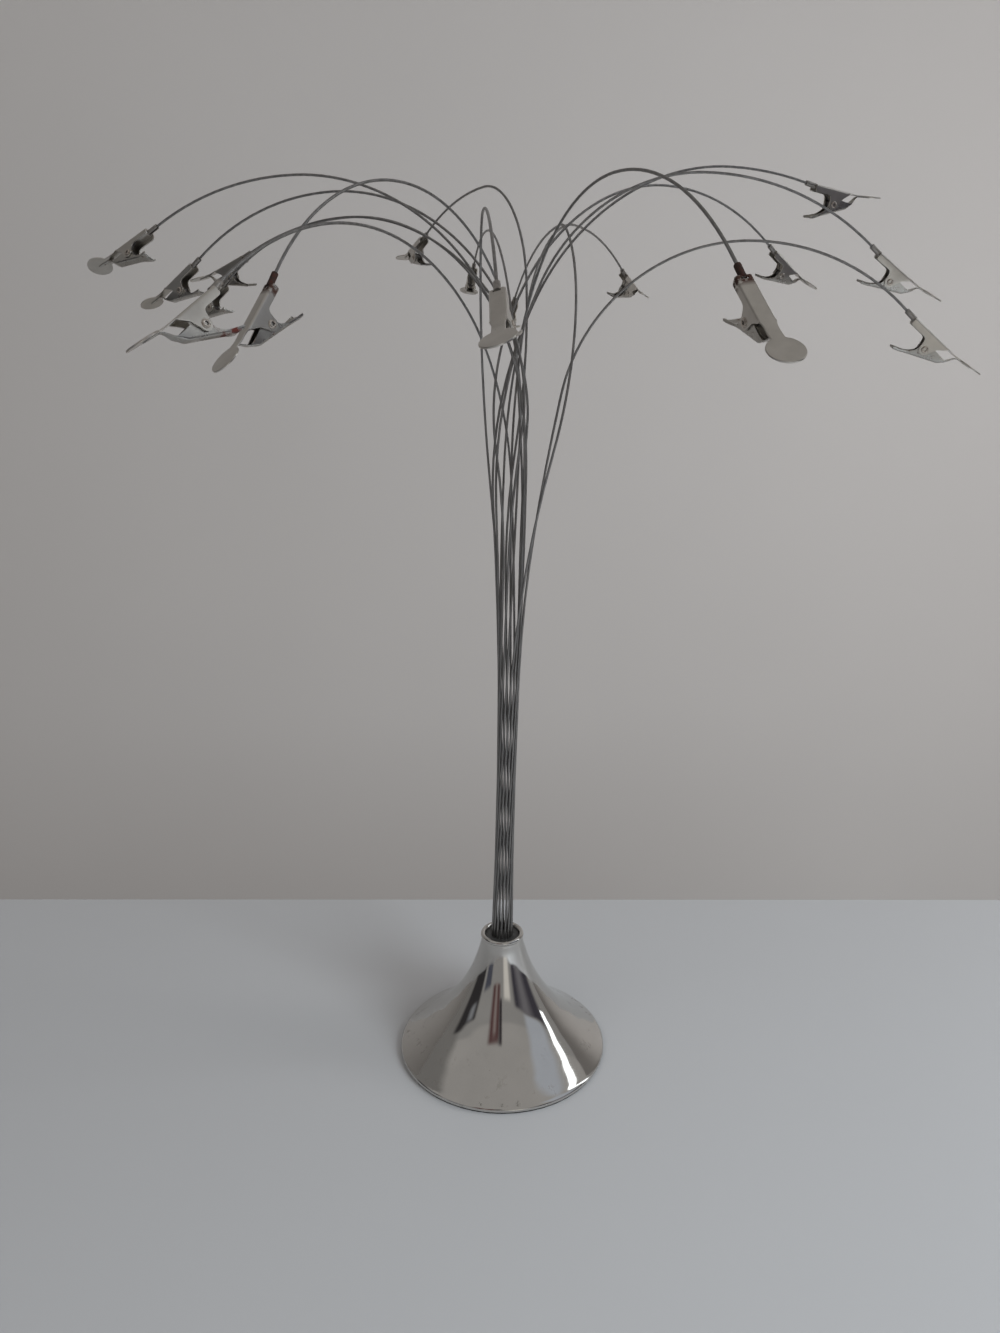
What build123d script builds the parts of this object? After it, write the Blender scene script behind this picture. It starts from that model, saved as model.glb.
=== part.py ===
from build123d import *
from math import acos, asin, atan, ceil, cos, degrees, pi, radians, sin, sqrt
import os

# Photo tree stand, in millimetres: a heavy trumpet base, sixteen spring wires and a sprung clip on each wire.
# +Z is up, the origin is the middle of the resting face, and -Y is the side that faces the viewer.

# Driving dimensions
stand_height = 400.0
arm_reach = 200.0
base_diameter = 100.0
base_height = 63.5
collar_diameter = 18.4
wire_diameter = 1.0
disc_diameter = 10.3
clip_width = 4.9
clip_body_length = 17.6
sheet = 0.5
fit_gap = 0.3
running_gap = 0.08

# Base casting and its underside
base_radius = base_diameter / 2
collar_radius = collar_diameter / 2
collar_straight = 5.0
socket_radius = 8.0
socket_depth = 19.0
lip_drop = 1.5
rim_face = 1.3
pad_thickness = 1.0
pad_inset = 0.7
base_sides = 48
screw_radius = 2.0
screw_head_radius = 3.6
screw_head_height = 2.6
washer_radius = 6.0
washer_thickness = 1.0
pocket_radius = 7.5
pocket_top = 12.0
pocket_sides = 12
screw_engagement = 6.0

# The flare's outline as shares of the base's radius and height, from the collar's foot to the rim
flare_shares = ((0.226, 0.80), (0.30, 0.655), (0.40, 0.51), (0.52, 0.37), (0.66, 0.24), (0.81, 0.125), (0.945, 0.05))

# Bundle of wires: a ring of leaning holes in the socket, and the ring that the same lines reach higher up
foot_ring = 4.6
upper_ring = 5.6
upper_ring_height = 240.0
bundle_lean = 4.0
ring_twist = 80.0
first_slot = -97.0
wire_count = 16
wire_sides = 5
wire_sag = 0.4
wire_step = 10.0
foot_run = 14.0
hole_floor = 1.0
hole_gap = 0.12

# Clip plate: lengths run from the wire end towards the disc, heights are above the plate's lower face
barrel_length = 4.5
barrel_radius = 1.05
barrel_bore = 0.68
barrel_drop = 0.25
barrel_lap = 0.4
plate_tilt = 4.0
slot_start = 0.5
slot_length = 1.0
slot_width = 2.3
wire_in_slot = 0.4
flange_depth = 2.3
flange_corner = 0.8
flange_end = 7.4
throat_depth = 4.1
throat_place = 8.6
pivot_place = 11.0
pivot_depth = 5.5
ear_radius = 2.1
window_place = 14.6
window_depth = 2.75
neck_start = 19.4
neck_width = 3.9
tail_bend = 21.8
tail_tip = 7.0
disc_place = 29.4
disc_sides = 16
pin_sides = 6

# Clip lever, drawn level with its web: lengths along the web and heights from the rivet's middle
lever_pitch = 23.2
lever_gap = 0.15
web_drop = 3.45
tab_start = 6.0
tab_length = 5.0
tab_lip = 1.0
tab_width = 6.2
lever_throat_place = 3.2
lever_throat_height = 1.4
lever_ear_radius = 2.0
lever_shoulder_place = 4.7
lever_shoulder_height = 0.5
web_bend_place = 6.8
nose_foot_place = 10.2
nose_foot_height = 1.8
nose_wall = 0.5
jaw_place = 12.75
jaw_height = 0.3
tongue_start = 0.2
tongue_end = 7.0
tongue_thickness = 0.35
tongue_width = 1.3

# Rivet and spring
rivet_radius = 0.85
rivet_head_radius = 1.35
rivet_head_height = 0.35
spring_radius = 1.75
spring_half_width = 1.0

# Each arm by hand, from the photograph: slot in the bundle, share of the straight lean at which it leaves,
# sweep direction, apex as shares of the reach (x, y) and of the height, then the rising and the falling arc,
# each as a share of the reach and an angle, and last the clip's roll about its wire.
arm_shares = (
    (15, 0.90, 166, (-0.410, 0.090, 0.9875), (0.45, 52), (0.61, 31), 35),
    (12, 1.00, 158, (-0.340, 0.135, 0.9750), (0.42, 58), (0.56, 38), 10),
    (2, 1.00, 151, (-0.325, 0.270, 0.9575), (0.42, 77), (0.72, 24), -5),
    (3, 1.00, 149, (-0.330, 0.220, 0.9550), (0.48, 48), (0.60, 36), 15),
    (4, 0.70, 243, (-0.240, -0.300, 0.9250), (0.61, 38), (0.63, 33), 25),
    (13, 0.80, 239, (-0.180, -0.175, 0.9650), (0.43, 34), (0.41, 53), 15),
    (6, 0.95, 114, (-0.040, 0.275, 0.9875), (0.22, 85), (1.01, 21), 0),
    (0, 0.80, 98, (-0.040, 0.555, 0.9550), (0.57, 63), (0.56, 27), 10),
    (7, 0.60, 273, (-0.035, -0.140, 0.9425), (0.15, 55), (1.05, 30), 20),
    (5, 0.80, 67, (0.165, 0.400, 0.9550), (0.32, 63), (0.98, 23), 30),
    (8, 0.70, 289, (0.180, -0.320, 0.9625), (0.49, 41), (0.57, 44), 10),
    (11, 1.00, 37, (0.355, 0.260, 0.9875), (0.47, 67), (0.61, 34), 20),
    (9, 0.65, 22, (0.475, 0.210, 1.0025), (0.50, 61), (0.85, 13), 10),
    (10, 0.65, 10, (0.395, 0.060, 0.9875), (0.36, 65), (0.58, 39), 15),
    (1, 0.75, 358, (0.470, -0.025, 0.9225), (0.36, 78), (0.45, 44), 10),
    (14, 0.65, 99, (0.120, 0.165, 0.9450), (0.14, 29), (1.27, 26), 0),
)


def foot_point(slot):
    """Where this slot's line crosses the height of the collar's mouth."""
    turn = radians(first_slot) + 2 * pi * slot / wire_count
    return Vector(foot_ring * cos(turn), foot_ring * sin(turn), base_height)


def lean_point(slot, share):
    """A point on this slot's straight line, from the collar's mouth (0) to the upper ring (1)."""
    turn = radians(first_slot + ring_twist) + 2 * pi * slot / wire_count
    top = Vector(bundle_lean + upper_ring * cos(turn), upper_ring * sin(turn), upper_ring_height)
    return foot_point(slot) + (top - foot_point(slot)) * share


def lean_direction(slot):
    return (lean_point(slot, 1) - foot_point(slot)).normalized()


def biarc_joint(start, start_way, end, end_way):
    """The joint of the two tangent arcs that lead from one point and direction to another."""
    chord = end - start
    ways = start_way + end_way
    a = 2 * (1 - start_way.dot(end_way))
    b = 2 * chord.dot(ways)
    reach = (sqrt(b * b + 4 * a * chord.dot(chord)) - b) / (2 * a)
    return (start + start_way * reach + end - end_way * reach) / 2


def arm_route(shares):
    """The named points and directions of one arm, from its leaning foot to the wire's end in the clip."""
    slot, leave, sweep, apex_share, rise, fall, roll = shares
    out = Vector(cos(radians(sweep)), sin(radians(sweep)), 0)
    up = Vector(0, 0, 1)
    apex = Vector(apex_share[0] * arm_reach, apex_share[1] * arm_reach, apex_share[2] * stand_height)
    rise_radius, rise_angle = rise[0] * arm_reach, radians(rise[1])
    fall_radius, fall_angle = fall[0] * arm_reach, radians(fall[1])
    shoulder = apex - out * rise_radius * sin(rise_angle) - up * rise_radius * (1 - cos(rise_angle))
    mouth = apex + out * fall_radius * sin(fall_angle) - up * fall_radius * (1 - cos(fall_angle))
    shoulder_way = out * cos(rise_angle) + up * sin(rise_angle)
    mouth_way = out * cos(fall_angle) - up * sin(fall_angle)
    foot = foot_point(slot) - lean_direction(slot) * foot_run
    leave_point = lean_point(slot, leave)
    return {
        "foot": foot,
        "leave": leave_point,
        "leave way": lean_direction(slot),
        "joint": biarc_joint(leave_point, lean_direction(slot), shoulder, shoulder_way),
        "shoulder": shoulder,
        "shoulder way": shoulder_way,
        "apex": apex,
        "out": out,
        "mouth": mouth,
        "mouth way": mouth_way,
        "end": mouth + mouth_way * (barrel_length + slot_start + wire_in_slot),
        "roll": radians(roll),
    }


def arc_runs(start, way, end):
    """Points after start on the arc that leaves it in this direction, close enough for short straight runs."""
    chord = end - start
    half_turn = acos(min(1, way.dot(chord.normalized())))
    radius = chord.length / (2 * sin(half_turn))
    inward = (chord.normalized() - way * cos(half_turn)).normalized()
    step = min(2 * acos(1 - wire_sag / radius), radians(wire_step))
    runs = ceil(2 * half_turn / step)
    turns = [2 * half_turn * run / runs for run in range(1, runs + 1)]
    return [start + way * radius * sin(turn) + inward * radius * (1 - cos(turn)) for turn in turns]


def arm_wire(route):
    """One spring wire: straight in the bundle, short runs along four arcs over the arch, straight in its clip."""
    lift_chord = (route["joint"] - route["leave"]).normalized()
    joint_way = lift_chord * (2 * lift_chord.dot(route["leave way"])) - route["leave way"]
    points = [route["foot"], route["leave"]]
    points += arc_runs(route["leave"], route["leave way"], route["joint"])
    points += arc_runs(route["joint"], joint_way, route["shoulder"])
    points += arc_runs(route["shoulder"], route["shoulder way"], route["apex"])
    points += arc_runs(route["apex"], route["out"], route["mouth"])
    points.append(route["end"])
    with BuildPart() as wire:
        with BuildLine() as path:
            Polyline(*points)
        with BuildSketch(Plane(origin=route["foot"], z_dir=route["leave way"])):
            RegularPolygon(wire_diameter / 2, wire_sides)
        sweep(path=path.wires()[0], transition=Transition.RIGHT)
    return wire.part


def turned(vector, way, angle):
    """The vector turned by this angle about a unit direction."""
    return vector * cos(angle) + way.cross(vector) * sin(angle) + way * (way.dot(vector) * (1 - cos(angle)))


def clip_plane(route):
    """The clip's own frame on an arm: X along the plate, Y up from its lower face, Z across."""
    out = route["out"]
    pitch = asin(-route["mouth way"].Z) - radians(plate_tilt)
    along = turned(out * cos(pitch) - Vector(0, 0, sin(pitch)), route["mouth way"], route["roll"])
    above = turned(out * sin(pitch) + Vector(0, 0, cos(pitch)), route["mouth way"], route["roll"])
    origin = route["mouth"] + route["mouth way"] * barrel_length + above * barrel_drop
    return Plane(origin=origin, x_dir=along, z_dir=along.cross(above))


def base_casting():
    """The trumpet: collar, flare in narrow bands, upright rim, socket bore from above and screw pocket below."""
    outline = [(base_radius, pad_thickness), (base_radius, pad_thickness + rim_face)]
    outline += [(r * base_radius, z * base_height) for r, z in reversed(flare_shares)]
    outline += [(collar_radius, base_height - collar_straight), (collar_radius, base_height)]
    flat_share = cos(pi / base_sides)
    with BuildPart() as base:
        for (low_radius, low), (high_radius, high) in zip(outline, outline[1:]):
            with BuildSketch(Plane.XY.offset(low)):
                RegularPolygon(low_radius, base_sides)
            slope = degrees(atan((low_radius - high_radius) * flat_share / (high - low)))
            extrude(amount=high - low, taper=slope)
        with BuildSketch(Plane.XY.offset(base_height)):
            RegularPolygon(socket_radius, wire_count)
        extrude(amount=-socket_depth, mode=Mode.SUBTRACT)
        with BuildSketch(Plane.XY.offset(pad_thickness)):
            RegularPolygon(pocket_radius, pocket_sides)
        extrude(amount=pocket_top - pad_thickness, mode=Mode.SUBTRACT)
        with BuildSketch(Plane.XY.offset(pocket_top)):
            RegularPolygon(screw_radius + fit_gap, pocket_sides)
        extrude(amount=base_height - pocket_top, mode=Mode.SUBTRACT)
    return base.part


def base_pad():
    with BuildPart() as pad:
        with BuildSketch():
            RegularPolygon(base_radius - pad_inset, base_sides)
        extrude(amount=pad_thickness)
    return pad.part


def wire_socket():
    """The plug in the collar: sixteen leaning holes from above, one tapped hole from below."""
    socket_top = base_height - lip_drop
    socket_foot = base_height - socket_depth
    with BuildPart() as socket:
        with BuildSketch(Plane.XY.offset(socket_foot)):
            RegularPolygon(socket_radius - running_gap, wire_count)
        extrude(amount=socket_top - socket_foot)
        for slot in range(wire_count):
            hole_start = foot_point(slot) - lean_direction(slot) * (foot_run + hole_floor)
            with BuildSketch(Plane(origin=hole_start, z_dir=lean_direction(slot))):
                RegularPolygon(wire_diameter / 2 + hole_gap, wire_sides)
            extrude(amount=socket_depth, mode=Mode.SUBTRACT)
        with BuildSketch(Plane.XY.offset(socket_foot)):
            RegularPolygon(screw_radius + running_gap, pocket_sides)
        extrude(amount=screw_engagement + fit_gap, mode=Mode.SUBTRACT)
    return socket.part


def socket_screw():
    head_top = pocket_top - washer_thickness
    with BuildPart() as screw:
        with BuildSketch(Plane.XY.offset(head_top - screw_head_height)):
            RegularPolygon(screw_head_radius, pin_sides)
        extrude(amount=screw_head_height)
        with BuildSketch(Plane.XY.offset(head_top)):
            RegularPolygon(screw_radius, pocket_sides)
        extrude(amount=base_height - socket_depth + screw_engagement - head_top)
    return screw.part


def socket_washer():
    with BuildPart() as washer:
        with BuildSketch(Plane.XY.offset(pocket_top - washer_thickness)):
            RegularPolygon(washer_radius, pocket_sides)
            RegularPolygon(screw_radius + fit_gap, pocket_sides, mode=Mode.SUBTRACT)
        extrude(amount=washer_thickness)
    return washer.part


def pivot_outline(radius):
    """A pin's or hole's outline at the clip's pivot, in the clip's middle plane."""
    with BuildSketch(Plane.XY) as outline:
        with Locations((pivot_place, -pivot_depth)):
            RegularPolygon(radius, pin_sides)
    return outline.sketch


def clip_plate():
    """Folded strip with ears, window edge, slot, neck, disc and the barrel that is rolled round the wire."""
    lobe = [
        (pivot_place + ear_radius * cos(radians(turn)), -pivot_depth + ear_radius * sin(radians(turn)))
        for turn in (-10, -60, -110, -160)
    ]
    hole = pivot_outline(rivet_radius)
    with BuildPart() as plate:
        with BuildSketch(Plane.XY):
            with BuildLine():
                Polyline(
                    (0, sheet), (clip_body_length, sheet), (clip_body_length, 0), (window_place, -window_depth),
                    *lobe, (throat_place, -throat_depth), (flange_end, -flange_depth),
                    (flange_corner, -flange_depth), (0, -flange_depth + flange_corner), close=True,
                )
            make_face()
        extrude(amount=clip_width / 2, both=True)
        with BuildSketch(Plane.XY):
            with BuildLine():
                Polyline(
                    (0, 0), (clip_body_length, 0), (clip_body_length, -pivot_depth - ear_radius),
                    (0, -pivot_depth - ear_radius), close=True,
                )
            make_face()
        extrude(amount=clip_width / 2 - sheet, both=True, mode=Mode.SUBTRACT)
        with BuildSketch(Plane(origin=(0, 0, 0), x_dir=(1, 0, 0), z_dir=(0, 1, 0))):
            with BuildLine():
                Polyline(
                    (clip_body_length, clip_width / 2), (neck_start, neck_width / 2), (tail_bend, neck_width / 2),
                    (tail_bend, -neck_width / 2), (neck_start, -neck_width / 2), (clip_body_length, -clip_width / 2),
                    close=True,
                )
            make_face()
        extrude(amount=sheet)
        tip = radians(tail_tip)
        tail_plane = Plane(origin=(tail_bend, 0, 0), x_dir=(cos(tip), sin(tip), 0), z_dir=(-sin(tip), cos(tip), 0))
        with BuildSketch(tail_plane):
            with Locations((disc_place - tail_bend, 0)):
                RegularPolygon(disc_diameter / 2, disc_sides)
            with Locations(((disc_place - tail_bend) / 2, 0)):
                Rectangle(disc_place - tail_bend, neck_width)
        extrude(amount=sheet)
        lean = radians(plate_tilt)
        barrel_start = (-barrel_length * cos(lean), -barrel_drop + barrel_length * sin(lean), 0)
        barrel_plane = Plane(origin=barrel_start, x_dir=(0, 0, 1), z_dir=(cos(lean), -sin(lean), 0))
        with BuildSketch(barrel_plane):
            RegularPolygon(barrel_radius, pin_sides)
        extrude(amount=barrel_length + barrel_lap)
        with BuildSketch(barrel_plane):
            RegularPolygon(barrel_bore, pin_sides)
        extrude(amount=barrel_length + slot_start, mode=Mode.SUBTRACT)
        with BuildSketch(Plane(origin=(0, 0, 0), x_dir=(1, 0, 0), z_dir=(0, 1, 0))):
            with Locations((slot_start + slot_length / 2, 0)):
                Rectangle(slot_length, slot_width)
        extrude(amount=clip_width, both=True, mode=Mode.SUBTRACT)
        extrude(hole, amount=clip_width, both=True, mode=Mode.SUBTRACT)
    return plate.part


def clip_lever():
    """Folded lever: web, inner ears, flared finger tab with raised sides, bent nose and tongue under the disc."""
    pitch = radians(lever_pitch)
    along = Vector(cos(pitch), sin(pitch), 0)
    web_plane = Plane(origin=(pivot_place, -pivot_depth, 0), x_dir=along, z_dir=(0, 0, 1))
    lever_width = clip_width - 2 * sheet - 2 * lever_gap
    inside = lever_width / 2 - sheet
    tab_end = tab_start + tab_length
    lobe = [
        (lever_ear_radius * cos(radians(turn)), lever_ear_radius * sin(radians(turn)))
        for turn in (50, 90, 130, 170)
    ]
    hole = pivot_outline(rivet_radius + running_gap)
    with BuildPart() as lever:
        with BuildSketch(web_plane):
            with BuildLine():
                Polyline(
                    (-tab_start, -web_drop), (web_bend_place, -web_drop), (nose_foot_place, -nose_foot_height),
                    (jaw_place, jaw_height), (jaw_place - nose_wall, jaw_height + nose_wall / 2),
                    (nose_foot_place, -nose_foot_height + nose_wall),
                    (lever_shoulder_place, lever_shoulder_height), *lobe,
                    (-lever_throat_place, -lever_throat_height), (-tab_start, -web_drop + tab_lip), close=True,
                )
            make_face()
        extrude(amount=lever_width / 2, both=True)
        with BuildSketch(web_plane):
            with BuildLine():
                Polyline(
                    (-tab_start, -web_drop + sheet), (web_bend_place - sheet / 2, -web_drop + sheet),
                    (nose_foot_place - sheet / 2, -nose_foot_height + sheet),
                    (nose_foot_place - sheet / 2, lever_ear_radius), (-tab_start, lever_ear_radius), close=True,
                )
            make_face()
        extrude(amount=inside, both=True, mode=Mode.SUBTRACT)
        tab_origin = web_plane.from_local_coords((0, -web_drop, 0))
        tab_plane = Plane(origin=tab_origin, x_dir=along, z_dir=Vector(-sin(pitch), cos(pitch), 0))
        with BuildSketch(tab_plane):
            with BuildLine():
                Polyline(
                    (-tab_start, lever_width / 2), (-tab_end, tab_width / 2), (-tab_end, -tab_width / 2),
                    (-tab_start, -lever_width / 2), close=True,
                )
            make_face()
        extrude(amount=sheet)
        for side in (1, -1):
            with BuildSketch(tab_plane):
                with BuildLine():
                    Polyline(
                        (-tab_start, side * lever_width / 2), (-tab_end, side * tab_width / 2),
                        (-tab_end, side * (tab_width / 2 - sheet)), (-tab_start, side * (lever_width / 2 - sheet)),
                        close=True,
                    )
                make_face()
            extrude(amount=tab_lip)
        tip = radians(tail_tip)
        with BuildSketch(Plane(origin=(tail_bend, 0, 0), x_dir=(cos(tip), sin(tip), 0), z_dir=(0, 0, 1))):
            with Locations(((tongue_start + tongue_end) / 2, -running_gap - tongue_thickness / 2)):
                Rectangle(tongue_end - tongue_start, tongue_thickness)
        extrude(amount=tongue_width / 2, both=True)
        extrude(hole, amount=clip_width, both=True, mode=Mode.SUBTRACT)
    return lever.part


def clip_rivet():
    shank = pivot_outline(rivet_radius - fit_gap / pin_sides)
    with BuildPart() as rivet:
        extrude(shank, amount=clip_width / 2, both=True)
        for side in (1, -1):
            with BuildSketch(Plane.XY.offset(side * clip_width / 2)):
                with Locations((pivot_place, -pivot_depth)):
                    RegularPolygon(rivet_head_radius, pin_sides)
            extrude(amount=side * rivet_head_height)
    return rivet.part


def clip_spring():
    """The space of the torsion spring's coil round the rivet."""
    coil = pivot_outline(spring_radius)
    hole = pivot_outline(rivet_radius + running_gap)
    with BuildPart() as spring:
        extrude(coil, amount=spring_half_width, both=True)
        extrude(hole, amount=clip_width, both=True, mode=Mode.SUBTRACT)
    return spring.part


def keep(shape, name):
    shape.label = name
    export_step(shape, "parts/" + name + ".step")
    print(name, "volume", round(shape.volume, 1))


os.makedirs("parts", exist_ok=True)
routes = [arm_route(shares) for shares in arm_shares]
planes = [clip_plane(route) for route in routes]

keep(base_casting(), "base_casting")
keep(base_pad(), "base_pad")
keep(wire_socket(), "wire_socket")
keep(socket_screw(), "socket_screw")
keep(socket_washer(), "socket_washer")

plate_form = clip_plate()
lever_form = clip_lever()
rivet_form = clip_rivet()
spring_form = clip_spring()

for number, (route, plane) in enumerate(zip(routes, planes), start=1):
    keep(arm_wire(route), f"arm_wire_{number:02d}")
    with BuildPart(plane) as placed_plate:
        add(plate_form)
    keep(placed_plate.part, f"clip_plate_{number:02d}")
    with BuildPart(plane) as placed_lever:
        add(lever_form)
    keep(placed_lever.part, f"clip_lever_{number:02d}")

for form, name in ((rivet_form, "clip_rivets"), (spring_form, "clip_springs")):
    with BuildPart(*planes) as group:
        add(form)
    keep(group.part, name)
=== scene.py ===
from math import asin, ceil, cos, pi, radians, sin, sqrt

import bmesh
import bpy
from mathutils import Matrix, Vector


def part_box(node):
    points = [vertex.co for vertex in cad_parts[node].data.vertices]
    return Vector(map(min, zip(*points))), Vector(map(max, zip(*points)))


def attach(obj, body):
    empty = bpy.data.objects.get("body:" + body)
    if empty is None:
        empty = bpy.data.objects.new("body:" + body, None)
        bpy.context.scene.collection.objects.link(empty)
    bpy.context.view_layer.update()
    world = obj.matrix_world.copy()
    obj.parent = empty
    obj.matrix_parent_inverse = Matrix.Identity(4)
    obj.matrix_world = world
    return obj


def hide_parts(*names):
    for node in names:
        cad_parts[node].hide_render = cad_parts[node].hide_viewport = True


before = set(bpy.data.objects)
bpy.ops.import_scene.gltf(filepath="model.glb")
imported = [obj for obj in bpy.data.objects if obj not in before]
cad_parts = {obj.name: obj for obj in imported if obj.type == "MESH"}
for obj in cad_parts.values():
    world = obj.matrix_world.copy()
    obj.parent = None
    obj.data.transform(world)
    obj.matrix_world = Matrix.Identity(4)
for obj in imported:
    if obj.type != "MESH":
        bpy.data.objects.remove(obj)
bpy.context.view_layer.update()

# Photo tree stand. Lengths are in metres and angles in degrees. The base and the clips are drawn
# in millimetres, and MM turns them into metres.
MM = 0.001
UP = Vector((0, 0, 1))

# Driving dimensions, as in the construction
ARM_REACH = 200 * MM
STAND_HEIGHT = 400 * MM
BASE_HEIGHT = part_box("base_casting")[1][2]
WIRE_RADIUS = 0.5 * MM

# Bundle of wires: each runs straight from a ring of slots in the socket to a wider ring above it,
# which is turned and leans a little
WIRE_COUNT = 16
FOOT_RING = 4.6 * MM
FOOT_RUN = 14 * MM
FIRST_SLOT = -97
UPPER_RING = 5.6 * MM
UPPER_RING_HEIGHT = 240 * MM
RING_TWIST = 80
BUNDLE_LEAN = 4 * MM

# Clip, drawn in millimetres: X along the plate towards the disc, Y up from the plate's underside
# and Z across
SHEET = 0.5
FOLD_RADIUS = 0.8
PIVOT = (11.0, -5.5)
PLATE_HALF = 2.45
PLATE_EAR = 2.1
PLATE_TILT = 4
NECK_HALF = 1.95
BEND_PLACE = 21.8
TIP_TILT = 7
DISC_PLACE = 29.4
DISC_RADIUS = 5.15
BARREL_LENGTH = 4.5
BARREL_DROP = 0.25
BARREL_RADIUS = 1.05
BARREL_BORE = 0.56
BARREL_SEAM = 14
WIRE_PAST_BARREL = 0.9
LEVER_PITCH = 23.2
LEVER_HALF = 1.8
LEVER_WEB = -3.45
LEVER_EAR = 2.0
FISHTAIL = 0.9
NOSE_SHEET = 0.36
TONGUE_SHEET = 0.30
TONGUE_GAP = 0.06
SPRING_WIRE = 0.22

# How finely round forms are divided, and how near two points are to be one
ARC_STEP = 2.5
BASE_SIDES = 192
RIVET_SIDES = 28
CORNER_STEPS = 5
DISC_STEPS = 40
BARREL_STEPS = 28
SPRING_STEPS = 20
WELD_DISTANCE = 1e-7

# Each arm: slot, share of the straight run at which it leaves, sweep direction, apex as
# shares of reach (x, y) and height, rising arc and falling arc as a share of the reach and an
# angle, and the clip's roll about the wire
ARMS = (
    (15, 0.90, 166, (-0.410, 0.090, 0.9875), (0.45, 52), (0.61, 31), 35),
    (12, 1.00, 158, (-0.340, 0.135, 0.9750), (0.42, 58), (0.56, 38), 10),
    (2, 1.00, 151, (-0.325, 0.270, 0.9575), (0.42, 77), (0.72, 24), -5),
    (3, 1.00, 149, (-0.330, 0.220, 0.9550), (0.48, 48), (0.60, 36), 15),
    (4, 0.70, 243, (-0.240, -0.300, 0.9250), (0.61, 38), (0.63, 33), 25),
    (13, 0.80, 239, (-0.180, -0.175, 0.9650), (0.43, 34), (0.41, 53), 15),
    (6, 0.95, 114, (-0.040, 0.275, 0.9875), (0.22, 85), (1.01, 21), 0),
    (0, 0.80, 98, (-0.040, 0.555, 0.9550), (0.57, 63), (0.56, 27), 10),
    (7, 0.60, 273, (-0.035, -0.140, 0.9425), (0.15, 55), (1.05, 30), 20),
    (5, 0.80, 67, (0.165, 0.400, 0.9550), (0.32, 63), (0.98, 23), 30),
    (8, 0.70, 289, (0.180, -0.320, 0.9625), (0.49, 41), (0.57, 44), 10),
    (11, 1.00, 37, (0.355, 0.260, 0.9875), (0.47, 67), (0.61, 34), 20),
    (9, 0.65, 22, (0.475, 0.210, 1.0025), (0.50, 61), (0.85, 13), 10),
    (10, 0.65, 10, (0.395, 0.060, 0.9875), (0.36, 65), (0.58, 39), 15),
    (1, 0.75, 358, (0.470, -0.025, 0.9225), (0.36, 78), (0.45, 44), 10),
    (14, 0.65, 99, (0.120, 0.165, 0.9450), (0.14, 29), (1.27, 26), 0),
)
RUSTY_ARMS = (6, 11)
RUST_SPOTTED_ARMS = (5,)


# Routes of the wires


def foot_point(slot):
    """Where the wire in this slot comes out of the socket."""
    turn = radians(FIRST_SLOT) + 2 * pi * slot / WIRE_COUNT
    return Vector((FOOT_RING * cos(turn), FOOT_RING * sin(turn), BASE_HEIGHT))


def lean_point(slot, share):
    """The point at this share of the wire's straight run."""
    turn = radians(FIRST_SLOT + RING_TWIST) + 2 * pi * slot / WIRE_COUNT
    top = (BUNDLE_LEAN + UPPER_RING * cos(turn), UPPER_RING * sin(turn), UPPER_RING_HEIGHT)
    return foot_point(slot).lerp(Vector(top), share)


def lean_direction(slot):
    """The direction of the wire's straight run."""
    return (lean_point(slot, 1) - foot_point(slot)).normalized()


def biarc_joint(start, start_way, end, end_way):
    """Where two arcs meet, of which one leaves start and one reaches end in these directions."""
    chord = end - start
    a = 2 * (1 - start_way.dot(end_way))
    b = 2 * chord.dot(start_way + end_way)
    reach = (sqrt(b * b + 4 * a * chord.dot(chord)) - b) / (2 * a)
    return (start + start_way * reach + end - end_way * reach) / 2


def arc(start, way, end):
    """Points after start on the arc to end that leaves start in this direction."""
    chord = end - start
    half_turn = way.angle(chord)
    radius = chord.length / (2 * sin(half_turn))
    inward = (chord.normalized() - way * cos(half_turn)).normalized()
    runs = max(4, ceil(2 * half_turn / radians(ARC_STEP)))
    turns = [2 * half_turn * run / runs for run in range(1, runs + 1)]
    return [
        start + way * radius * sin(turn) + inward * radius * (1 - cos(turn)) for turn in turns
    ]


def clip_place(mouth, mouth_way, out, roll):
    """The place of the clip whose barrel takes in the wire at this mouth."""
    pitch = asin(-mouth_way.z) - radians(PLATE_TILT)
    roll_turn = Matrix.Rotation(radians(roll), 3, mouth_way)
    along = roll_turn @ (out * cos(pitch) - UP * sin(pitch))
    above = roll_turn @ (out * sin(pitch) + UP * cos(pitch))
    across = along.cross(above)
    origin = mouth + mouth_way * BARREL_LENGTH * MM + above * BARREL_DROP * MM
    return Matrix.Translation(origin) @ Matrix((along, above, across)).transposed().to_4x4()


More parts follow.
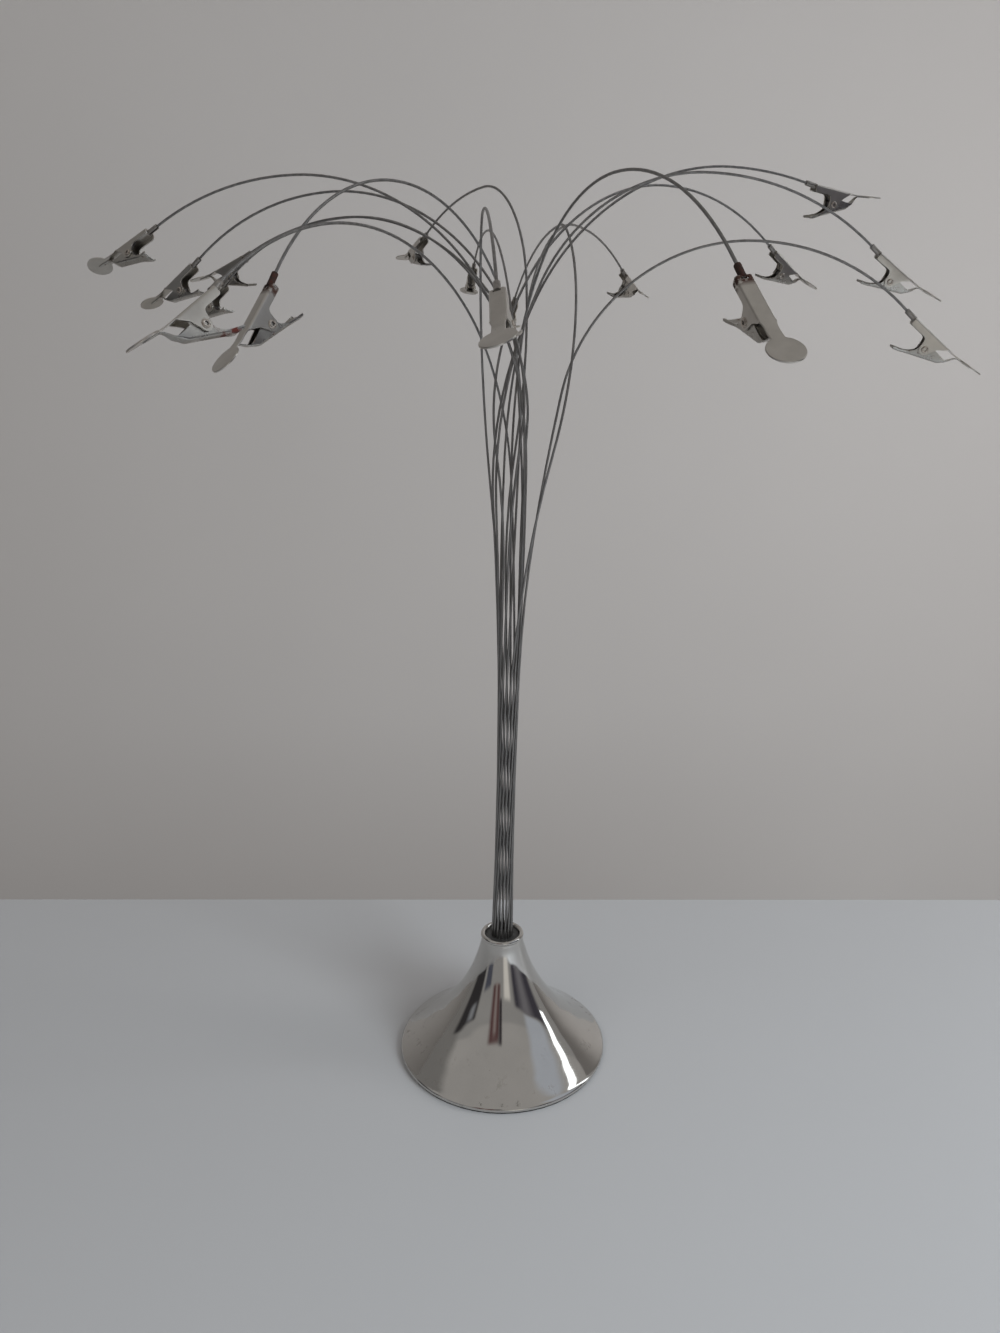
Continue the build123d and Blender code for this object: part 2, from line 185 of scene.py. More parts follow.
def arm_route(arm):
    """(points of the wire, place of its clip)."""
    slot, leave, sweep, apex_share, rise, fall, roll = arm
    out = Vector((cos(radians(sweep)), sin(radians(sweep)), 0))
    reach_x, reach_y, height = apex_share
    apex = Vector((reach_x * ARM_REACH, reach_y * ARM_REACH, height * STAND_HEIGHT))
    rise_radius, rise_angle = rise[0] * ARM_REACH, radians(rise[1])
    fall_radius, fall_angle = fall[0] * ARM_REACH, radians(fall[1])
    shoulder = (
        apex - out * rise_radius * sin(rise_angle) - UP * rise_radius * (1 - cos(rise_angle))
    )
    mouth = apex + out * fall_radius * sin(fall_angle) - UP * fall_radius * (1 - cos(fall_angle))
    shoulder_way = out * cos(rise_angle) + UP * sin(rise_angle)
    mouth_way = out * cos(fall_angle) - UP * sin(fall_angle)
    lean = lean_direction(slot)
    leave_point = lean_point(slot, leave)
    joint = biarc_joint(leave_point, lean, shoulder, shoulder_way)
    lift = (joint - leave_point).normalized()
    joint_way = lift * (2 * lift.dot(lean)) - lean
    points = [foot_point(slot) - lean * FOOT_RUN, foot_point(slot), leave_point]
    points += arc(leave_point, lean, joint)
    points += arc(joint, joint_way, shoulder)
    points += arc(shoulder, shoulder_way, apex)
    points += arc(apex, out, mouth)
    points.append(mouth + mouth_way * (BARREL_LENGTH + WIRE_PAST_BARREL) * MM)
    return points, clip_place(mouth, mouth_way, out, roll)


# Mesh makers


def mesh_from(name, points, faces, smooth_angle=35):
    """A welded mesh, smooth but for the edges where its faces meet at more than this angle."""
    mesh = bpy.data.meshes.new(name)
    mesh.from_pydata([tuple(point) for point in points], [], faces)
    mesh.validate()
    work = bmesh.new()
    work.from_mesh(mesh)
    bmesh.ops.remove_doubles(work, verts=work.verts, dist=WELD_DISTANCE)
    bmesh.ops.recalc_face_normals(work, faces=work.faces)
    for face in work.faces:
        face.smooth = True
    for edge in work.edges:
        if len(edge.link_faces) == 2 and edge.calc_face_angle(0) > radians(smooth_angle):
            edge.smooth = False
    work.to_mesh(mesh)
    work.free()
    return mesh


def put(name, mesh, material, body="stand", nodes=(), place=None):
    """An object with this mesh on a body, standing for these nodes of the frame."""
    piece = bpy.data.objects.new(name, mesh)
    bpy.context.scene.collection.objects.link(piece)
    if place is not None:
        piece.matrix_world = place
    if not mesh.materials:
        mesh.materials.append(material)
    # Copies share a mesh, so each has its finish on the object
    piece.material_slots[0].link = "OBJECT"
    piece.material_slots[0].material = material
    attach(piece, body)
    if nodes:
        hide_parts(*nodes)


# Where the middle of a folded strip's web starts in its ring of points, outside and inside, and
# half the width of that middle, which the wire's slot takes up
WEB_OUTSIDE = CORNER_STEPS + 2
WEB_INSIDE = 3 * CORNER_STEPS + 8
SLOT_HALF = 1.15


def loft_rings(name, rings, smooth_angle=35, slot_rows=()):
    """A closed skin through rings of equal length, with a slot through its web in these rows."""
    count = len(rings[0])
    points = [point for ring in rings for point in ring]
    faces = []
    for row in range(len(rings) - 1):
        left_out = (WEB_OUTSIDE, WEB_INSIDE) if row in slot_rows else ()
        for k in range(count):
            if k not in left_out:
                a, b = row * count + k, row * count + (k + 1) % count
                faces.append((a, b, b + count, a + count))
    # The slot's walls, first those along the strip
    for row in slot_rows:
        for outer, inner in ((WEB_OUTSIDE, WEB_INSIDE + 1), (WEB_OUTSIDE + 1, WEB_INSIDE)):
            a, b = row * count + outer, row * count + inner
            faces.append((a, a + count, b + count, b))
    if slot_rows:
        corners = (WEB_OUTSIDE, WEB_OUTSIDE + 1, WEB_INSIDE, WEB_INSIDE + 1)
        for row in (slot_rows[0], slot_rows[-1] + 1):
            faces.append(tuple(row * count + k for k in corners))
    faces.append(tuple(range(count)))
    faces.append(tuple(range((len(rings) - 1) * count, len(rings) * count)))
    return mesh_from(name, points, faces, smooth_angle)


def tube(name, points, radius, sides=12):
    """A round bar along a route, with a frame that is carried along without twisting."""
    last = len(points) - 1
    circle = [2 * pi * k / sides for k in range(sides)]
    side = (points[1] - points[0]).orthogonal().normalized()
    rings = []
    for k, point in enumerate(points):
        way = (points[min(k + 1, last)] - points[max(k - 1, 0)]).normalized()
        side = (side - way * side.dot(way)).normalized()
        other = way.cross(side)
        rings.append([
            point + side * radius * cos(turn) + other * radius * sin(turn) for turn in circle
        ])
    return loft_rings(name, rings)


def lathe(name, profile, sides, place=Matrix()):
    """A closed ring of (radius, height) points in millimetres, turned round Z."""
    count = len(profile)
    points = []
    faces = []
    for k in range(sides):
        turn = 2 * pi * k / sides
        points += [
            place @ Vector((r * MM * cos(turn), r * MM * sin(turn), z * MM)) for r, z in profile
        ]
        here, there = k * count, (k + 1) % sides * count
        for j in range(count):
            after = (j + 1) % count
            faces.append((here + j, here + after, there + after, there + j))
    return mesh_from(name, points, faces)


def catmull(points, steps):
    """A smooth curve through flat points."""
    result = []
    for k in range(len(points) - 1):
        p0, p1 = points[max(k - 1, 0)], points[k]
        p2, p3 = points[k + 1], points[min(k + 2, len(points) - 1)]
        for step in range(steps):
            t = step / steps
            result.append(tuple(
                0.5 * (
                    2 * b + (c - a) * t
                    + (2 * a - 5 * b + 4 * c - d) * t * t
                    + (3 * b - a - 3 * c + d) * t ** 3
                )
                for a, b, c, d in zip(p0, p1, p2, p3)
            ))
    result.append(points[-1])
    return result


def lobe(centre, radius, start, end, steps=14):
    """Flat points on an arc between two angles."""
    turns = [radians(start + (end - start) * k / steps) for k in range(steps + 1)]
    return [(centre[0] + radius * cos(turn), centre[1] + radius * sin(turn)) for turn in turns]


def fold_ring(x, half_width, face, edge):
    """A folded strip's section at x, from its web's outer face to its flanges' free edges.

    Where the flanges run out into the flat strip, the bends shrink with what is left of them.
    """
    way = 1 if edge > face else -1
    depth = abs(edge - face)
    inside = half_width - SHEET
    floor = face + way * min(SHEET, 0.98 * depth)
    outer_bend = min(FOLD_RADIUS, 0.6 * depth)
    inner_bend = max(outer_bend - SHEET, 0.06)
    middle = min(SLOT_HALF, 0.7 * max(0.02, inside - inner_bend))
    inner_bend = min(inner_bend, abs(edge - floor))
    turns = [pi / 2 * k / CORNER_STEPS for k in range(CORNER_STEPS + 1)]

    def half_section(half, level, bend):
        corner = [
            (level + way * bend * (1 - sin(turn)), half - bend * (1 - cos(turn))) for turn in turns
        ]
        return [(edge, half), *corner, (level, middle)]

    def mirrored(half):
        return [(y, -z) for y, z in half]

    outer = half_section(half_width, face, outer_bend)
    inner = half_section(inside, floor, inner_bend)
    section = mirrored(outer) + outer[::-1] + inner + mirrored(inner)[::-1]
    return [(x, y, z) for y, z in section]


def scaled(rings):
    """Rings drawn in millimetres, as vectors in metres."""
    return [[Vector(point) * MM for point in ring] for ring in rings]


# The clip's parts


def plate_mesh():
    """The pressed plate: folded flanges with their ears, the narrowing neck and the disc."""
    # Free edge of the flanges along the plate
    corner = [(0.0, -1.5), (0.06, -1.8), (0.23, -2.06), (0.5, -2.24), (0.8, -2.3), (1.5, -2.3)]
    throat = catmull([(7.0, -2.3), (7.9, -2.6), (8.45, -3.4), (8.75, -4.6), (8.92, -5.3)], 6)
    ear = lobe(PIVOT, PLATE_EAR, 186, 352)
    front = [(13.4, -5.1), (14.6, -2.75), (16.0, -1.55), (17.3, -0.6), (17.6, -0.06)]
    rings = [fold_ring(x, PLATE_HALF, SHEET, y) for x, y in corner + throat + ear + front]
    # The wire's slot runs from the corner's section at 0.5 to the one at 1.5
    slot_rows = (3, 4)
    # Half width of the flat neck, and of the tip that is bent up with the disc
    neck = ((17.9, 2.36), (18.6, 2.12), (19.4, NECK_HALF), (20.6, 1.93), (21.4, NECK_HALF))
    rings += [fold_ring(x, half, SHEET, 0.0) for x, half in neck]
    tip = [(BEND_PLACE, NECK_HALF), (23.0, NECK_HALF), (24.2, NECK_HALF)]
    disc_start, disc_end = 157, 1
    for k in range(DISC_STEPS + 1):
        turn = radians(disc_start - (disc_start - disc_end) * k / DISC_STEPS)
        tip.append((DISC_PLACE + DISC_RADIUS * cos(turn), DISC_RADIUS * sin(turn)))
    tilt = radians(TIP_TILT)
    for x, half in tip:
        # The section keeps some width; the disc's rounded end is cut from it
        least = 0.7 if x < DISC_PLACE else 0.1
        ring = fold_ring(x - BEND_PLACE, max(half, least), SHEET, 0.0)
        if x > DISC_PLACE + 0.95 * DISC_RADIUS:
            ring = [(px, py, max(-half, min(half, pz))) for px, py, pz in ring]
        rings.append([
            (BEND_PLACE + px * cos(tilt) - py * sin(tilt), px * sin(tilt) + py * cos(tilt), pz)
            for px, py, pz in ring
        ])
    return loft_rings("clip_plate", scaled(rings), 30, slot_rows)


def barrel_mesh():
    """The strip's end rolled round the wire, with its open seam below."""
    lean, seam = radians(PLATE_TILT), radians(BARREL_SEAM)
    way = Vector((cos(lean), -sin(lean), 0))
    above = Vector((sin(lean), cos(lean), 0))
    across = Vector((0, 0, 1))
    start = -way * BARREL_LENGTH - Vector((0, BARREL_DROP, 0))
    turns = [
        -pi / 2 + seam + (2 * pi - 2 * seam) * k / BARREL_STEPS for k in range(BARREL_STEPS + 1)
    ]
    # (distance along the barrel, how far the roll is opened)
    roll = ((0, 0.95), (0.15, 1.0), (1.5, 1.02), (3.2, 1.0), (4.3, 1.04), (4.9, 1.1))
    rings = []
    for distance, swell in roll:
        centre, radius = start + way * distance, BARREL_RADIUS * swell
        outer = [centre + (across * cos(turn) + above * sin(turn)) * radius for turn in turns]
        inner = [centre + (across * cos(turn) + above * sin(turn)) * BARREL_BORE for turn in turns]
        rings.append(outer + inner[::-1])
    return loft_rings("clip_barrel", scaled(rings), 40)


def lever_mesh():
    """The folded lever: flared finger tab, web and ears, bent nose and tongue under the disc."""
    # Finger tab: (place, half width, face and free edge above the web)
    tab = (
        (-11.0, 2.9, 0.25, 1.15), (-10.8, 3.1, 0.18, 1.2), (-10.2, 2.95, 0.08, 1.15),
        (-9.4, 2.65, 0, 1.05), (-8.4, 2.25, 0, 1.0), (-7.4, 1.95, 0, 1.0),
        (-6.6, LEVER_HALF, 0, 1.05), (-5.8, LEVER_HALF, 0, 1.2),
    )
    fork, fork_run = -8.4, 2.4
    rings = []
    for x, half, face, edge in tab:
        spread = FISHTAIL * max(0, min(1, (fork - x) / fork_run))
        ring = fold_ring(x, half, LEVER_WEB + face, LEVER_WEB + edge)
        rings.append([(px - spread * (pz / half) ** 2, py, pz) for px, py, pz in ring])
    # Free edge of the flanges from the tab over the ears to the bend
    throat = [(-5.0, 1.45), (-4.0, 1.8), (-3.1, 2.3), (-2.3, 3.3)]
    throat = catmull([(x, LEVER_WEB + y) for x, y in throat] + [(-1.93, 0.2)], 4)
    ear = lobe((0, 0), LEVER_EAR, 165, 50)
    front = [(2.6, 1.1), (4.7, 0.5), (6.6, -0.45)]
    rings += [fold_ring(x, LEVER_HALF, LEVER_WEB, y) for x, y in throat + ear + front]
    # The web rises and narrows from the bend to the nose
    bend, bend_run, bend_rise, taper = 6.8, 3.4, 1.65, 0.06
    for x, y in ((7.6, -0.95), (8.6, -1.4), (9.6, -1.62)):
        face = LEVER_WEB + (x - bend) / bend_run * bend_rise
        half = LEVER_HALF - (x - bend) * taper
        rings.append(fold_ring(x, half, face, max(y, face + SHEET)))
    nose = ((10.2, 1.5, -1.80), (10.8, 1.25, -1.38), (11.6, 1.0, -0.80), (12.5, 0.85, -0.20))
    rings += [fold_ring(x, half, y, y + NOSE_SHEET) for x, half, y in nose]
    # All this is drawn about the pivot with the web level; the tongue is drawn with the plate
    pitch, tilt = radians(LEVER_PITCH), radians(TIP_TILT)
    rings = [
        [
            (
                PIVOT[0] + x * cos(pitch) - y * sin(pitch),
                PIVOT[1] + x * sin(pitch) + y * cos(pitch),
                z,
            )
            for x, y, z in ring
        ]
        for ring in rings
    ]
    for x, half in ((23.4, 0.62), (25.0, 0.62), (27.0, 0.62), (28.8, 0.62), (29.6, 0.35)):
        face = (x - BEND_PLACE) * sin(tilt) - TONGUE_SHEET - TONGUE_GAP
        rings.append(fold_ring(x, half, face, face + TONGUE_SHEET))
    return loft_rings("clip_lever", scaled(rings), 30)


def rivet_mesh():
    """A hollow rivet with a rolled head on each side, lying along the clip's Z."""
    side = [
        (0.52, 0.0), (0.52, 2.5), (0.6, 2.78), (0.85, 2.86), (1.15, 2.8), (1.33, 2.62),
        (1.35, 2.46), (0.8, 2.45), (0.8, 0.0),
    ]
    profile = side + [(r, -z) for r, z in reversed(side[1:-1])]
    place = Matrix.Translation((PIVOT[0] * MM, PIVOT[1] * MM, 0))
    return lathe("clip_rivet", profile, RIVET_SIDES, place)


def spring_mesh():
    """Three turns round the rivet, one leg under the plate and one on the lever's web."""
    turns, radius, half_width, first = 3, 1.45, 0.95, 125
    steps = turns * SPRING_STEPS
    # About the pivot
    points = [(-5.0, -0.25 - PIVOT[1], -half_width), (-3.0, -1.7 - PIVOT[1], -half_width)]
    for k in range(steps + 1):
        turn = radians(first) - 2 * pi * turns * k / steps
        z = -half_width + 2 * half_width * k / steps
        points.append((radius * cos(turn), radius * sin(turn), z))
    points += [(1.2, 0.4, half_width), (4.0, -0.6, half_width)]
    route = [Vector((PIVOT[0] + x, PIVOT[1] + y, z)) * MM for x, y, z in points]
    return tube("clip_spring", route, SPRING_WIRE * MM, 8)


# Materials


def add_node(tree, kind, sockets=None, operation=None):
    """A shader node with these input sockets, each a plain value or the output that feeds it."""
    node = tree.nodes.new("ShaderNode" + kind)
    if operation:
        node.operation = operation
    for key, value in (sockets or {}).items():
        if isinstance(value, bpy.types.NodeSocket):
            tree.links.new(value, node.inputs[key])
        else:
            node.inputs[key].default_value = value
    return node


def times(tree, one, other):
    """The product of two outputs."""
    return add_node(tree, "Math", {0: one, 1: other}, "MULTIPLY").outputs["Value"]


def fade(tree, value, start, end):
    """0 where the value is still at start, 1 where it is past end."""
    node = add_node(tree, "MapRange", {"Value": value, "From Min": start, "From Max": end})
    return node.outputs["Result"]


def shader(
    name, colour, metallic, roughness, spread=0.2, scale=900, rough_spread=0.1, bump=0.02,
    stretch=(1, 1, 1),
):
    """A plain surface with cloudy colour and roughness and a fine grain."""
    material = bpy.data.materials.new(name)
    material.use_nodes = True
    tree = material.node_tree
    surface = tree.nodes["Principled BSDF"]
    surface.inputs["Base Color"].default_value = (*colour, 1)
    surface.inputs["Metallic"].default_value = metallic
    surface.inputs["Roughness"].default_value = roughness
    place = add_node(tree, "TexCoord").outputs["Object"]
    place = add_node(tree, "Mapping", {"Vector": place, "Scale": stretch}).outputs["Vector"]
    noise = {"Vector": place, "Scale": scale, "Detail": 6}
    cloud = add_node(tree, "TexNoise", noise).outputs["Fac"]
    ramp = add_node(tree, "ValToRGB", {"Fac": cloud})
    dark, light = ramp.color_ramp.elements
    dark.position, light.position = 0.35, 0.7
    dark.color = (*[c * (1 - spread) for c in colour], 1)
    light.color = (*[min(1, c * (1 + spread)) for c in colour], 1)
    tree.links.new(ramp.outputs["Color"], surface.inputs["Base Color"])
    rough = add_node(tree, "MapRange", {
        "Value": cloud,
        "To Min": max(0.02, roughness - rough_spread / 2),
        "To Max": roughness + rough_spread / 2,
    })
    tree.links.new(rough.outputs["Result"], surface.inputs["Roughness"])
    if bump:
        grain = add_node(tree, "TexNoise", {"Vector": place, "Scale": scale * 4, "Detail": 3})
        height = {"Strength": bump, "Distance": 0.2 * MM, "Height": grain.outputs["Fac"]}
        relief = add_node(tree, "Bump", height)
        tree.links.new(relief.outputs["Normal"], surface.inputs["Normal"])
    return material


def lay_over(material, amount, colour, metallic, roughness):
    """Mixes a plain second surface over a material, by this amount."""
    tree = material.node_tree
    layer = add_node(tree, "BsdfPrincipled", {
        "Base Color": (*colour, 1), "Metallic": metallic, "Roughness": roughness,
    })
    output = tree.nodes["Material Output"].inputs["Surface"]
    below = output.links[0].from_socket
    mix = add_node(tree, "MixShader", {"Fac": amount, 1: below, 2: layer.outputs["BSDF"]})
    tree.links.new(mix.outputs["Shader"], output)


def add_spots(
    material, colour, scale, threshold, metallic=0.1, roughness=0.8, soft=0.04, axis=None,
    clean_unshaded=0, full=0,
):
    """Spots of rust or dirt, all over or along an axis from the clean to the full millimetre."""
    tree = material.node_tree
    place = add_node(tree, "TexCoord").outputs["Object"]
    noise = {"Vector": place, "Scale": scale, "Detail": 5, "Roughness": 0.65}
    cloud = add_node(tree, "TexNoise", noise).outputs["Fac"]
    amount = fade(tree, cloud, threshold - soft, threshold + soft)
    if axis:
        parts = add_node(tree, "SeparateXYZ", {"Vector": place})
        amount = times(tree, amount, fade(tree, parts.outputs[axis], clean_unshaded * MM, full * MM))
    lay_over(material, amount, colour, metallic, roughness)


def paint_bore_shade(material, centre, clean_unshaded, full):
    """Painted shade in a hole along Z: none at the first radius, full at the second one further
    in, in millimetres.
    """
    tree = material.node_tree
    place = add_node(tree, "TexCoord").outputs["Object"]
    flat = add_node(tree, "Mapping", {"Vector": place, "Scale": (1, 1, 0)}).outputs["Vector"]
    axis = (centre[0] * MM, centre[1] * MM, 0)
    reach = add_node(tree, "VectorMath", {0: flat, 1: axis}, "DISTANCE").outputs["Value"]
    # The near-black colour laid over here is painted shade in the bore
    lay_over(material, fade(tree, reach, clean_unshaded * MM, full * MM), (0.012, 0.010, 0.009), 0.0, 0.9)


PLATE_NICKEL = {
    "colour": (0.54, 0.515, 0.475), "metallic": 1.0, "roughness": 0.30,
    "spread": 0.05, "scale": 300, "rough_spread": 0.08,
}
LEVER_NICKEL = {
    "colour": (0.45, 0.435, 0.405), "metallic": 1.0, "roughness": 0.28,
    "spread": 0.07, "scale": 300,
}

# Polished chrome with a few specks, and dull haze on the lowest part of the flare
chrome = shader(
    "chrome", (0.60, 0.585, 0.56), 1.0, 0.07, spread=0.04, scale=60, rough_spread=0.05, bump=0.0
)
add_spots(chrome, (0.10, 0.09, 0.08), 420, 0.74, metallic=0.3, roughness=0.6, soft=0.03)
add_spots(
    chrome, (0.30, 0.28, 0.25), 160, 0.66, metallic=0.7, roughness=0.35, soft=0.08,
    axis="Z", clean_unshaded=20, full=4,
)
pad_rubber = shader("pad_rubber", (0.014, 0.014, 0.014), 0.0, 0.85, scale=400, bump=0.1)
socket_steel = shader("socket_steel", (0.12, 0.12, 0.12), 0.8, 0.55, scale=400, bump=0.05)
wire_steel = shader(
    "drawn_wire", (0.27, 0.265, 0.26), 1.0, 0.42, scale=500, rough_spread=0.15, bump=0.03,
    stretch=(1, 1, 0.15),
)

nickel = shader("dulled_nickel", **PLATE_NICKEL)
add_spots(nickel, (0.08, 0.045, 0.03), 900, 0.70, soft=0.03)
rusty_plate = shader("rusty_plate", **PLATE_NICKEL)
add_spots(
    rusty_plate, (0.038, 0.018, 0.013), 500, 0.44, roughness=0.85, soft=0.05,
    axis="X", clean_unshaded=4.2, full=2.2,
)
lever_nickel = shader("lever_nickel", **LEVER_NICKEL)
add_spots(lever_nickel, (0.09, 0.04, 0.025), 700, 0.66)
rusty_lever = shader("rusty_lever", **LEVER_NICKEL)
add_spots(
    rusty_lever, (0.075, 0.016, 0.012), 350, 0.50, roughness=0.7, axis="X", clean_unshaded=9.5, full=7.5
)
barrel_nickel = shader(
    "barrel_nickel", (0.34, 0.32, 0.30), 1.0, 0.4, rough_spread=0.2, bump=0.05
)
rusty_barrel = shader(
    "rusty_barrel", (0.030, 0.020, 0.016), 0.3, 0.75, spread=0.4, rough_spread=0.2, bump=0.3
)
add_spots(rusty_barrel, (0.034, 0.012, 0.009), 900, 0.52, metallic=0.0, roughness=0.9, soft=0.1)
rivet_steel = shader("rivet_steel", (0.50, 0.45, 0.40), 1.0, 0.28, rough_spread=0.15)
# Painted shade: the rivet's bore is darkened in its colour, from 0.60 mm in to 0.54 mm
paint_bore_shade(rivet_steel, PIVOT, clean_unshaded=0.60, full=0.54)
spring_steel = shader("spring_steel", (0.22, 0.21, 0.21), 1.0, 0.4)


# The base, from the photograph's outline


def base_mesh():
    """The flare's outer skin, its rim, the closed underside, the bore and the rolled lip."""
    lip = [
        (8.0, 62.0), (8.15, 62.7), (8.5, 63.2), (9.0, 63.45), (9.5, 63.4), (9.9, 63.1),
        (10.15, 62.6), (10.2, 62.1), (10.0, 61.6), (9.6, 61.35), (9.55, 61.1),
    ]
    flare = [
        (9.8, 60.5), (10.2, 58.2), (11.1, 54.8), (12.35, 50.6), (13.85, 46.2), (15.6, 42.0),
        (17.7, 37.6), (20.2, 33.0), (23.2, 28.2), (26.6, 23.6), (30.4, 19.0), (34.8, 14.6),
        (39.4, 10.4), (43.8, 6.9), (47.2, 4.4), (49.0, 3.2),
    ]
    rim = [(49.6, 2.7), (49.95, 2.2), (50.0, 1.6), (49.9, 1.15), (49.6, 1.0)]
    bore = [(8.0, 1.0), (8.0, 20.0)]
    return lathe("base", lip + catmull(flare, 5) + rim + bore, BASE_SIDES)


put("base", base_mesh(), chrome, nodes=("base_casting",))
for node, material in (
    ("base_pad", pad_rubber),
    ("wire_socket", socket_steel),
    ("socket_screw", socket_steel),
    ("socket_washer", socket_steel),
):
    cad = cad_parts[node]
    cad.data.materials.clear()
    cad.data.materials.append(material)


# Wires and clips

plate, barrel, lever = plate_mesh(), barrel_mesh(), lever_mesh()
rivet, spring = rivet_mesh(), spring_mesh()

for number, arm in enumerate(ARMS, start=1):
    tag = f"_{number:02d}"
    points, place = arm_route(arm)
    wire = tube("wire" + tag, points, WIRE_RADIUS)
    rusty = number in RUSTY_ARMS
    plate_finish = rusty_plate if rusty else nickel
    barrel_finish = rusty_barrel if rusty else barrel_nickel
    lever_finish = rusty_lever if number in RUST_SPOTTED_ARMS else lever_nickel
    strip = ("clip_plate" + tag,)
    put("wire" + tag, wire, wire_steel, nodes=("arm_wire" + tag,))
    put("plate" + tag, plate, plate_finish, nodes=strip, place=place)
    put("barrel" + tag, barrel, barrel_finish, nodes=strip, place=place)
    put(
        "lever" + tag, lever, lever_finish, body="lever" + tag, nodes=("clip_lever" + tag,),
        place=place,
    )
    put("rivet" + tag, rivet, rivet_steel, nodes=("clip_rivets",), place=place)
    put(
        "spring" + tag, spring, spring_steel, nodes=("clip_springs",),
        place=place,
    )


# Table and wall


def stage_box(name, low, high, colour, roughness):
    """A plain box of the room, between two corners."""
    points = [
        (x, y, z) for x in (low[0], high[0]) for y in (low[1], high[1]) for z in (low[2], high[2])
    ]
    faces = [(0, 1, 3, 2), (4, 6, 7, 5), (0, 4, 5, 1), (2, 3, 7, 6), (0, 2, 6, 4), (1, 5, 7, 3)]
    mesh = mesh_from(name, points, faces)
    mesh.materials.append(shader(
        name, colour, 0.0, roughness, spread=0.01, scale=3, rough_spread=0.05, bump=0.0
    ))
    piece = bpy.data.objects.new(name, mesh)
    bpy.context.scene.collection.objects.link(piece)


stage_box("table_top", (-0.62, -0.9, -0.03), (0.62, 0.135, 0.0), (0.46, 0.465, 0.475), 0.45)
stage_box("wall", (-3.5, 1.25, -1.2), (3.5, 1.29, 2.6), (0.56, 0.54, 0.525), 0.9)


# Lamps


def area(name, place, target, size, power, colour, in_reflections=False):
    """A rectangular lamp that faces its target."""
    lamp = bpy.data.lights.new(name, "AREA")
    lamp.shape = "RECTANGLE"
    lamp.size, lamp.size_y = size
    lamp.energy = power
    lamp.color = colour
    piece = bpy.data.objects.new(name, lamp)
    piece.location = place
    piece.visible_glossy = in_reflections
    facing = (Vector(target) - Vector(place)).to_track_quat("-Z", "Y")
    piece.rotation_euler = facing.to_euler()
    bpy.context.scene.collection.objects.link(piece)


area("side_light", (0.80, -0.85, 0.52), (0.1, -0.1, 0.05), (0.6, 0.5), 13, (0.88, 0.95, 1.0))
area("fill", (-1.3, -1.5, 1.6), (0, 0, 0.15), (1.6, 1.2), 8, (1.0, 0.97, 0.94))
area("wall_light", (1.4, -0.1, 0.5), (0.5, 1.25, 0.2), (0.6, 0.6), 7, (1.0, 0.98, 0.98))
area(
    "window", (1.28, 0.12, 0.78), (0, 0, 0.1), (0.155, 1.02), 1.25, (0.90, 0.96, 1.0),
    in_reflections=True,
)


# The room that the chrome reflects

ROOM_COLOUR = (0.30, 0.295, 0.29, 1)
BACKDROP_COLOUR = (0.38, 0.37, 0.365, 1)
HEIGHT_SOFTNESS = 0.02
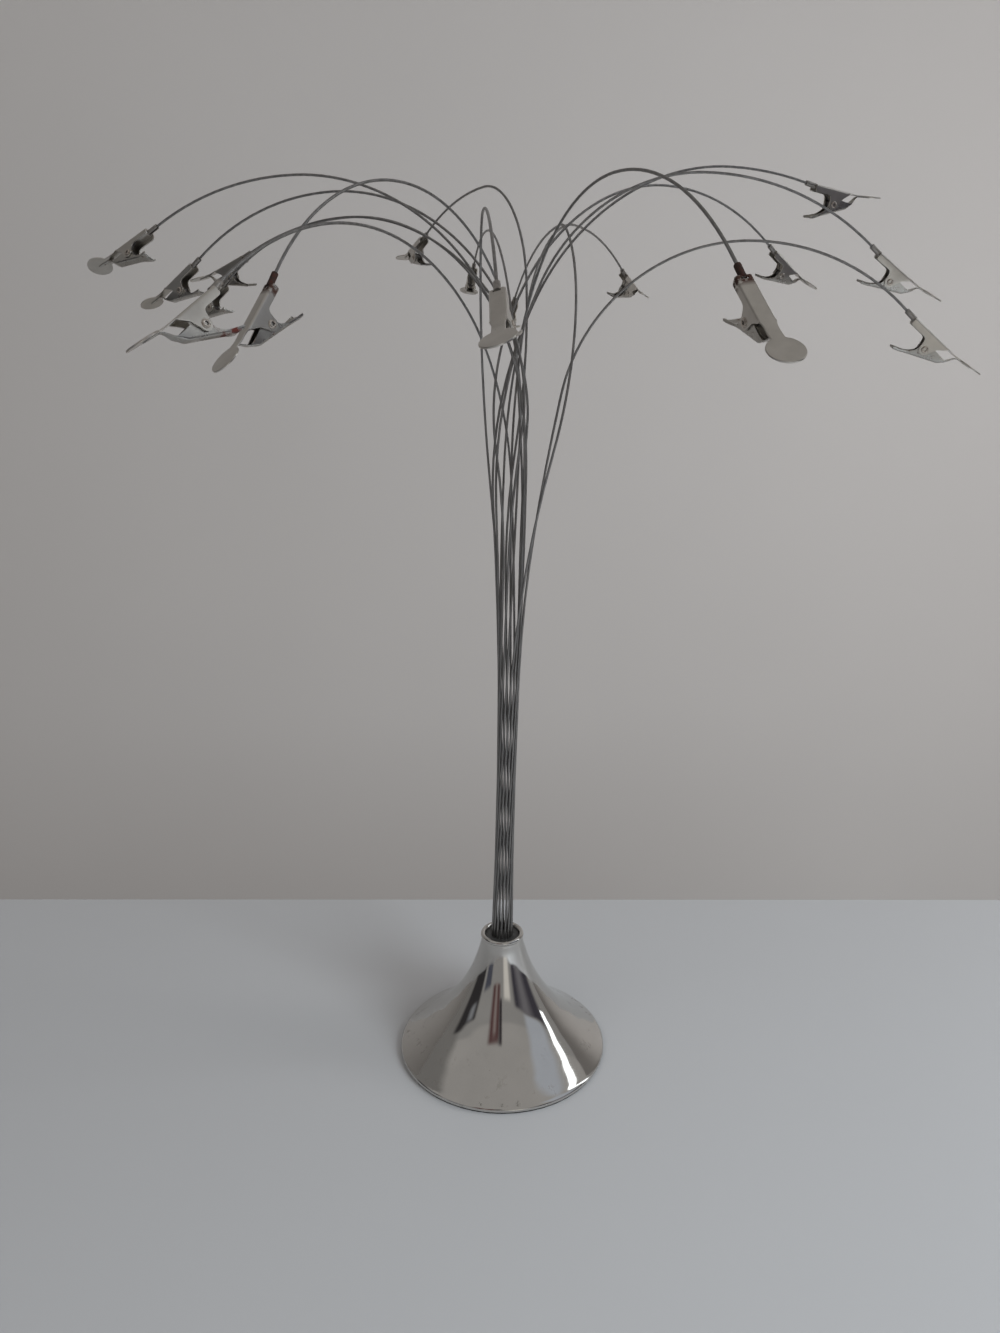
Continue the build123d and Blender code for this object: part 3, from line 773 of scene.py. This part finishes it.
# Patches laid over each other, by share of the turn (0 behind the camera, 0.25 the left, 0.5 the
# wall, 0.75 the right) and by the sine of the height above the horizon: start, end, low, high,
# softness, colour
ROOM = (
    # the ceiling, all round
    (-1.0, 2.0, 0.50, 2.0, 0.06, (0.37, 0.36, 0.35)),
    # the left: a shaded wall, a dark doorway with a light pane, a low dark chest
    (0.240, 0.40, -1.0, 0.80, 0.012, (0.20, 0.195, 0.19)),
    (0.178, 0.262, -0.4, 0.39, 0.008, (0.035, 0.033, 0.035)),
    (0.195, 0.220, 0.22, 0.37, 0.010, (0.24, 0.25, 0.27)),
    (0.105, 0.158, -0.4, 0.17, 0.008, (0.08, 0.085, 0.11)),
    # behind the camera: a reddish curtain with a light gap and a dark edge, a pale door
    (0.018, 0.078, 0.17, 0.64, 0.010, (0.10, 0.050, 0.050)),
    (0.040, 0.056, 0.15, 0.60, 0.008, (0.27, 0.23, 0.22)),
    (0.000, 0.020, 0.30, 0.66, 0.008, (0.03, 0.025, 0.03)),
    (0.935, 0.985, -0.4, 0.30, 0.010, (0.70, 0.68, 0.64)),
    # the right: a bluish blind over a dark cupboard with a paler panel
    (0.760, 0.850, 0.36, 0.84, 0.012, (0.44, 0.47, 0.52)),
    (0.740, 0.905, -0.4, 0.34, 0.012, (0.055, 0.052, 0.065)),
    (0.800, 0.860, -0.1, 0.34, 0.020, (0.17, 0.165, 0.18)),
)


def between(tree, value, low, high, soft):
    """1 where the value lies between two limits, 0 outside them."""
    above = fade(tree, value, low - soft, low + soft)
    below = fade(tree, value, high + soft, high - soft)
    return times(tree, above, below)


def make_room():
    """A world of soft patches, which looks like a plain backdrop straight from the camera."""
    world = bpy.data.worlds.new("room")
    bpy.context.scene.world = world
    world.use_nodes = True
    tree = world.node_tree
    way = add_node(tree, "TexCoord").outputs["Generated"]
    way = add_node(tree, "SeparateXYZ", {"Vector": way}).outputs
    turn = add_node(tree, "Math", {0: way["X"], 1: way["Y"]}, "ARCTAN2").outputs["Value"]
    azimuth = fade(tree, turn, -pi, pi)
    seen = ROOM_COLOUR
    for start, end, low, high, soft, colour in ROOM:
        inside = times(
            tree,
            between(tree, azimuth, start, end, soft),
            between(tree, way["Z"], low, high, HEIGHT_SOFTNESS),
        )
        patch = {"Fac": inside, "Color1": seen, "Color2": (*colour, 1)}
        seen = add_node(tree, "MixRGB", patch).outputs["Color"]
    straight = add_node(tree, "LightPath").outputs["Is Camera Ray"]
    shown = add_node(tree, "MixRGB", {"Fac": straight, "Color1": seen, "Color2": BACKDROP_COLOUR})
    tree.links.new(shown.outputs["Color"], tree.nodes["Background"].inputs["Color"])


make_room()


# Camera, fitted to the photograph, with its focal length and height in pixels

PHOTO_FOCAL = 1033
PHOTO_HEIGHT = 1333
SENSOR = 36
CAMERA_PLACE = (0.0, -0.4301, 0.337)
CAMERA_DOWN = 18.09
CAMERA_ROLL = 0.03
CAMERA_TURN = 0.12

camera_data = bpy.data.cameras.new("camera")
camera_data.sensor_width = SENSOR
camera_data.lens = PHOTO_FOCAL / PHOTO_HEIGHT * SENSOR
camera = bpy.data.objects.new("camera", camera_data)
bpy.context.scene.collection.objects.link(camera)
camera.location = CAMERA_PLACE
camera.rotation_euler = (radians(90 - CAMERA_DOWN), radians(CAMERA_ROLL), radians(CAMERA_TURN))
bpy.context.scene.camera = camera
bpy.context.scene.view_settings.view_transform = "Standard"
